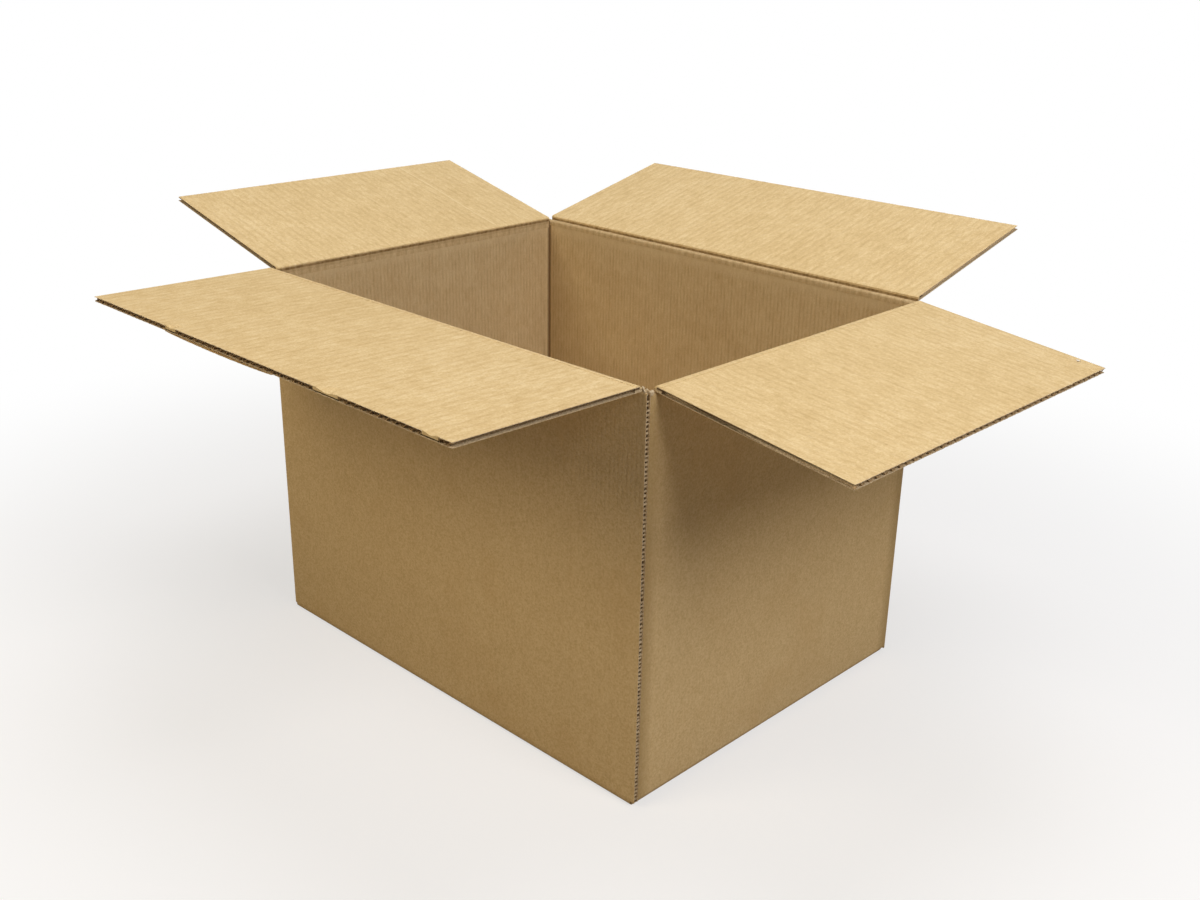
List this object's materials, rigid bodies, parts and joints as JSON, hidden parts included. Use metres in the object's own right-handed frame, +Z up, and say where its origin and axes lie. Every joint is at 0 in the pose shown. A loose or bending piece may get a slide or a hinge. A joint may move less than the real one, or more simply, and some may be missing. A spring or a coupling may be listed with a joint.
{
  "type": "cardboard box",
  "caption": "Open slotted shipping box of brown corrugated board, long and short top flaps folded outward on their creases, bottom closed.",
  "frame": {"origin": "middle of the footprint, on the underside of the bottom flaps", "axes": "+X along the long walls towards the right end, -Y out of the front long wall, +Z up"},
  "size_m": [0.6971, 0.5977, 0.3367],
  "materials": {
    "wall_board": "matte",
    "flap_board": "matte"
  },
  "bodies": {
    "box": {"box_body": "wall_board"},
    "front_flap": {"front_flap": "flap_board"},
    "back_flap": {"back_flap": "flap_board"},
    "right_flap": {"right_flap": "flap_board"},
    "left_flap": {"left_flap": "flap_board"}
  },
  "joints": [
    {"name": "front_crease", "type": "hinge", "parent": "box", "child": "front_flap", "pos_m": [0, -0.1518, 0.2963], "axis": [-1, 0, 0], "range_deg": [-89, 179]},
    {"name": "back_crease", "type": "hinge", "parent": "box", "child": "back_flap", "pos_m": [0, 0.1518, 0.2963], "axis": [1, 0, 0], "range_deg": [-101.5, 166.5]},
    {"name": "right_crease", "type": "hinge", "parent": "box", "child": "right_flap", "pos_m": [0.20035, 0, 0.29385], "axis": [0, -1, 0], "range_deg": [-81.2, 186.8]},
    {"name": "left_crease", "type": "hinge", "parent": "box", "child": "left_flap", "pos_m": [-0.20035, 0, 0.29385], "axis": [0, 1, 0], "range_deg": [-101.7, 166.3]}
  ]
}
